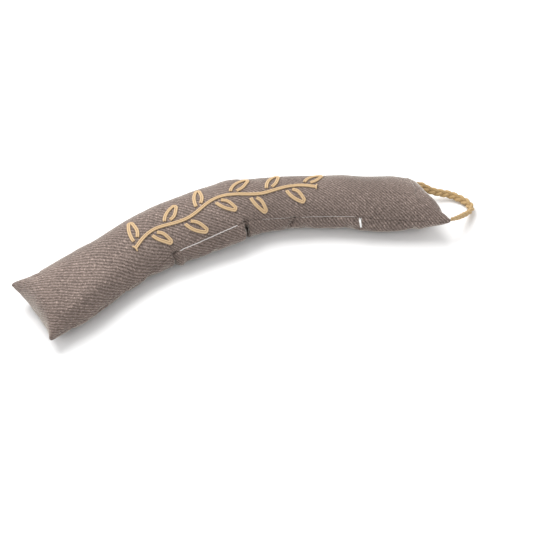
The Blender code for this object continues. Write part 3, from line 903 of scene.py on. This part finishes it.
class EXCLUDER_OT_sewing(Operator):
    """Lay the pale thread that closes the front seam"""

    bl_idname = "excluder.sewing"
    bl_label = "Seam thread"

    def execute(self, context):
        surface = cloth_surface()
        bm = bmesh.new()
        for first, last, radius, proud in SEAM_THREADS:
            count = round((last - first) / THREAD_STEP)
            middles, frames, lengths = [], [], []
            for k in range(count + 1):
                station = first + (last - first) * k / count
                point, normal = laid_on(surface, station, THREAD_TURN)
                ahead = cover_point(station + 0.002, THREAD_TURN) - cover_point(station - 0.002, THREAD_TURN)
                across = normal.cross(ahead.normalized()).normalized()
                dip = 0.5 - 0.5 * math.cos(2.0 * math.pi * (station - first) / STITCH)
                drift = 0.0002 * math.sin(station * 900.0)
                middles.append(point + (proud - 0.6 * radius * dip**6) * normal + drift * across)
                frames.append((across, normal))
                lengths.append(station - first)
            radii = closed_radii(radius, count + 1, 0.35, 3.0)
            cord(bm, middles, frames, radii, lengths, [0.0] * len(lengths), 6)
        thread = piece_from(bm, "seam_thread", thread_material())
        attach(thread, "root")
        return {"FINISHED"}


# ---- the sprig: its routes are pairs of a station and the arc length above the seam
def stem_around(along):
    """Arc length of the stem's middle above the seam."""
    phase = 2.0 * math.pi * (along - STEM.start) / STEM.pitch
    return math.radians(STEM.turn) * AROUND_RADIUS + STEM.wave * math.sin(phase)


def stem_route():
    step = (STEM.end - STEM.start) / STEM.steps
    alongs = [STEM.start + k * step for k in range(STEM.steps + 1)]
    return [Vector((along, stem_around(along))) for along in alongs]


def leaf_shape(length, side):
    """A leaf's loop of cord about its own axis, from one foot round the tip to the other."""
    foot = CORD_WIDTH / 2 + LEAF_GAP
    straight = length - LEAF_TIP
    slant = side / math.tan(math.radians(LEAF_LEAN))
    sides = []
    for k in range(13):
        q = k / 12
        belly = (LEAF_HALF - 0.5 * (foot + LEAF_TIP)) * math.sin(math.pi * q**0.85)
        sides.append((straight * q, foot + (LEAF_TIP - foot) * q + belly))
    angles = [math.pi * (0.5 - k / 8) for k in range(1, 8)]
    tip = [(straight + LEAF_TIP * math.cos(angle), LEAF_TIP * math.sin(angle)) for angle in angles]
    loop = sides + tip + [(x, -y) for x, y in reversed(sides)]
    return [(x - slant * y * max(0.0, 1.0 - x / straight) ** 2, y) for x, y in loop]


def leaf_route(index):
    """Route of one leaf, standing off the stem on alternate sides."""
    side = 1.0 if index % 2 == 0 else -1.0
    along = LEAF_FIRST + (LEAF_LAST - LEAF_FIRST) * index / (LEAF_COUNT - 1)
    slope = math.atan2(stem_around(along + 0.002) - stem_around(along - 0.002), 0.004)
    away = side * (CORD_WIDTH + LEAF_GAP)
    start = Vector((along - away * math.sin(slope), stem_around(along) + away * math.cos(slope)))
    turned = Matrix.Rotation(slope + side * math.radians(LEAF_LEAN), 2)
    return [start + turned @ Vector(place) for place in leaf_shape(LEAF_SIZES[index % len(LEAF_SIZES)], side)]


def couched(bm, surface, route, settings, phase):
    """Two twisted cords side by side, laid along a route on the cloth."""
    placed = [laid_on(surface, along, math.degrees(arc / AROUND_RADIUS)) for along, arc in route]
    points, outward = zip(*placed)
    path, gone = spline(points, settings.step), lengths_of(points)
    last = len(path) - 1
    normals = [outward[k].lerp(outward[k + 1], q).normalized() for k, q in even_places(gone, last)]
    frames = along_row(path, normals)
    lengths = [gone[-1] * i / last for i in range(last + 1)]
    radius = CORD_FULL * CORD_WIDTH / 4
    radii = closed_radii(radius, last + 1, 0.45, 4.0)
    for side in (-1.0, 1.0):
        middles = [
            point + (0.92 * radius - settings.sink) * normal + side * 0.96 * radius * across
            for point, normal, (across, _) in zip(path, normals, frames)
        ]
        twists = [2.0 * math.pi * length / settings.lay * side + phase for length in lengths]
        cord(bm, middles, frames, radii, lengths, twists, 10, (0.82, 0.22, 1.0))


def knot(bm, surface, route, settings):
    """A short cord laid across an end of the stem."""
    away = (route[0] - route[1]).normalized()
    beside = Vector((-away.y, away.x))
    points, normals, lengths = [], [], []
    for k in range(KNOT.steps + 1):
        q = 2.0 * k / KNOT.steps - 1.0
        place = route[0] + away * (0.0004 + KNOT.bow * q * q) + beside * (KNOT.length / 2 * q)
        point, normal = laid_on(surface, place.x, math.degrees(place.y / AROUND_RADIUS))
        points.append(point + (KNOT.lift - KNOT.droop * abs(q) ** 3) * normal)
        normals.append(normal)
        lengths.append(KNOT.length * k / KNOT.steps)
    radii = closed_radii(KNOT.radius, len(points), 0.45, 3.0)
    twists = [2.0 * math.pi * length / settings.lay for length in lengths]
    cord(bm, points, along_row(points, normals), radii, lengths, twists, 10, (0.84, 0.18, 1.0))


class EXCLUDER_OT_sprig(Operator):
    """Couch the stem and the leaf loops on the cloth"""

    bl_idname = "excluder.sprig"
    bl_label = "Couched sprig"

    def execute(self, context):
        settings = context.scene.excluder_sprig
        surface = cloth_surface()
        jute = jute_material("jute_sprig_cord", settings.colour, settings.lay, 2)
        routes = {"sprig_stem": stem_route()}
        for index in range(LEAF_COUNT):
            routes[f"leaf_{index + 1:02d}"] = leaf_route(index)
        for place, (node, route) in enumerate(routes.items()):
            bm = bmesh.new()
            couched(bm, surface, route, settings, 1.3 * place)
            if node == "sprig_stem":
                knot(bm, surface, route, settings)
                knot(bm, surface, route[::-1], settings)
            piece = piece_from(bm, node + "_cord", jute)
            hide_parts(node)
            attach(piece, "root")
        return {"FINISHED"}


# ---- the handle
class EXCLUDER_OT_handle(Operator):
    """Plait the jute handle between the corners of the right end"""

    bl_idname = "excluder.handle"
    bl_label = "Plaited handle"

    def execute(self, context):
        settings = context.scene.excluder_handle
        route = [Vector((x, y, z, math.radians(roll))) for x, y, z, roll in HANDLE_ROUTE]
        path = spline(route, PLAIT_STEP)
        line = [point.to_3d() for point in path]
        gone = lengths_of(line)
        total = gone[-1]
        frames = []
        for here, (level, up) in zip(path, along_row(line, [Vector((0.0, 0.0, 1.0))] * len(line))):
            wide = math.cos(here.w) * level + math.sin(here.w) * up
            frames.append((wide, math.sin(here.w) * level - math.cos(here.w) * up))
        sizes = [
            HELD_SIZE + (1.0 - HELD_SIZE) * min(at / HELD_BACK, (total - at) / HELD_FRONT, 1.0) for at in gone
        ]
        radii = [size * settings.strand for size in sizes]
        bm = bmesh.new()
        for strand in range(3):
            middles, twists = [], []
            for point, (wide, deep), at, size in zip(line, frames, gone, sizes):
                phase = 2.0 * math.pi * (at / settings.pitch + strand / 3.0)
                swing = size * settings.half_width * math.sin(phase)
                dip = size * settings.half_depth * math.sin(2.0 * phase)
                middles.append(point + swing * wide + dip * deep)
                twists.append(2.0 * math.pi * at / settings.lay + strand)
            squared = along_row(middles, [deep for _, deep in frames])
            cord(bm, middles, squared, radii, gone, twists, 16, (0.90, 0.12, 1.5), (0.92, 1.04))
        # dark sets how deep the painted shade between the plait's plies is
        jute = jute_material("jute_handle_plait", settings.colour, settings.lay, 3, dark=0.55)
        plait = piece_from(bm, "handle_plait", jute)
        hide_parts("handle")
        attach(plait, "root")
        return {"FINISHED"}


# ---- the tape
class EXCLUDER_OT_tape(Operator):
    """Sew the folded white tape into the front seam"""

    bl_idname = "excluder.tape"
    bl_label = "Seam tape"

    def execute(self, context):
        settings = context.scene.excluder_tape
        surface = cloth_surface()
        fold, tail = 0.85 * settings.layer, settings.length
        # half of the folded tape, from the middle of its fork out along an arm and down to its end
        half = (
            (0.15 * fold, -TAPE_FORK), (TAPE_SPREAD, 0.0005), (TAPE_SPREAD + 0.6 * fold, -0.0004),
            (fold, -TAPE_FORK - 0.0008), (1.05 * fold, -0.55 * tail), (1.15 * fold, 0.0010 - tail),
            (0.9 * fold, -tail),
        )
        bm = bmesh.new()
        near = []
        for along, down in [(-x, y) for x, y in half[2::-1]] + [*half] + [(-x, y) for x, y in half[:2:-1]]:
            turn = math.degrees((down - 0.001) / AROUND_RADIUS)
            point, normal = laid_on(surface, TAPE_STATION + along - TAPE_LEAN * down, turn)
            near.append(bm.verts.new(point + 0.0004 * normal))
        normal = cover_normal(TAPE_STATION, math.degrees(-0.5 * tail / AROUND_RADIUS))
        grown = bmesh.ops.extrude_face_region(bm, geom=[bm.faces.new(near)])
        far = [item for item in grown["geom"] if isinstance(item, bmesh.types.BMVert)]
        bmesh.ops.translate(bm, verts=far, vec=settings.depth * normal)
        bmesh.ops.recalc_face_normals(bm, faces=bm.faces)
        rims = [edge for edge in bm.edges if len(edge.link_faces) == 2 and edge.calc_face_angle(0.0) > 0.9]
        bmesh.ops.bevel(
            bm, geom=rims, offset=0.00018, segments=2, profile=0.5, affect="EDGES", material=-1,
        )
        bmesh.ops.triangulate(bm, faces=[f for f in bm.faces if len(f.verts) > 4])
        tape = piece_from(bm, "seam_tape_fold", tape_material(settings.colour), smooth=False)
        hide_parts("seam_tape")
        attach(tape, "root")
        return {"FINISHED"}


# ---- stage
VIEW_TARGET = Vector((0.0682, -0.0025, 0.0))
VIEW_DISTANCE = 2.55
VIEW_ELEVATION = 48.0
FLOOR_DROP = 0.0004         # keeps the floor out of the cloth that lies on it


def lamp(name, place, target, size, power):
    """A round soft light."""
    light = bpy.data.lights.new(name, "AREA")
    light.shape = "DISK"
    light.size = size
    light.energy = power
    holder = linked(name, light)
    holder.location = place
    holder.rotation_euler = (Vector(place) - Vector(target)).to_track_quat("Z", "Y").to_euler()


class EXCLUDER_OT_stage(Operator):
    """Set the floor, the soft lights and the camera"""

    bl_idname = "excluder.stage"
    bl_label = "Stage"

    def execute(self, context):
        scene = context.scene
        settings = scene.excluder_stage
        lens = bpy.data.cameras.new("view")
        lens.lens = 85.0
        camera = linked("view", lens)
        rise = math.radians(VIEW_ELEVATION)
        camera.location = VIEW_TARGET + VIEW_DISTANCE * Vector((0.0, -math.cos(rise), math.sin(rise)))
        camera.rotation_euler = (math.radians(90.0 - VIEW_ELEVATION), 0.0, 0.0)
        scene.camera = camera

        bm = bmesh.new()
        bmesh.ops.create_grid(bm, x_segments=2, y_segments=2, size=6.0)
        bmesh.ops.translate(bm, verts=bm.verts, vec=(0.0, 0.0, -FLOOR_DROP))
        floor = piece_from(bm, "floor", Nodes("pale_floor").finish(settings.floor, 0.7), smooth=False)

        lamp("key", (-0.60, 0.80, 1.60), (0.0, 0.05, 0.0), 1.8, settings.key_power)
        lamp("fill", (-1.5, -1.3, 1.2), (-0.30, -0.10, 0.05), 1.4, settings.fill_power)
        lamp("side", (1.6, -0.9, 1.1), (0.38, 0.10, 0.05), 1.2, settings.side_power)

        scene.world = bpy.data.worlds.new("soft_room")
        scene.world.use_nodes = True
        sky = scene.world.node_tree.nodes["Background"].inputs
        sky["Color"].default_value = (1.0, 1.0, 1.0, 1.0)
        sky["Strength"].default_value = settings.sky
        scene.view_settings.view_transform = "Standard"
        return {"FINISHED"}


# ---- panel and run
GROUPS = (
    # settings on the scene, their class, the operators that they belong to
    ("excluder_cover", ExcluderCover, ("excluder.cover", "excluder.sewing")),
    ("excluder_sprig", ExcluderSprig, ("excluder.sprig",)),
    ("excluder_handle", ExcluderHandle, ("excluder.handle",)),
    ("excluder_tape", ExcluderTape, ("excluder.tape",)),
    ("excluder_stage", ExcluderStage, ("excluder.stage",)),
)


class EXCLUDER_PT_panel(Panel):
    bl_idname = "EXCLUDER_PT_panel"
    bl_label = "Draught excluder"
    bl_space_type = "VIEW_3D"
    bl_region_type = "UI"
    bl_category = "Excluder"

    def draw(self, context):
        for name, group, operators in GROUPS:
            box = self.layout.box()
            for key in group.__annotations__:
                box.prop(getattr(context.scene, name), key)
            for operator in operators:
                box.operator(operator)


CLASSES = (
    *(group for _, group, _ in GROUPS),
    EXCLUDER_OT_stage,
    EXCLUDER_OT_handle,
    EXCLUDER_OT_cover,
    EXCLUDER_OT_sewing,
    EXCLUDER_OT_sprig,
    EXCLUDER_OT_tape,
    EXCLUDER_PT_panel,
)


def register():
    for item in CLASSES:
        bpy.utils.register_class(item)
    for name, group, _ in GROUPS:
        setattr(bpy.types.Scene, name, PointerProperty(type=group))


def unregister():
    for name, _, _ in GROUPS:
        delattr(bpy.types.Scene, name)
    for item in reversed(CLASSES):
        bpy.utils.unregister_class(item)


def main():
    register()
    bpy.ops.excluder.stage()
    bpy.ops.excluder.handle()
    bpy.ops.excluder.cover()
    bpy.ops.excluder.sewing()
    bpy.ops.excluder.sprig()
    bpy.ops.excluder.tape()


if __name__ == "__main__":
    main()
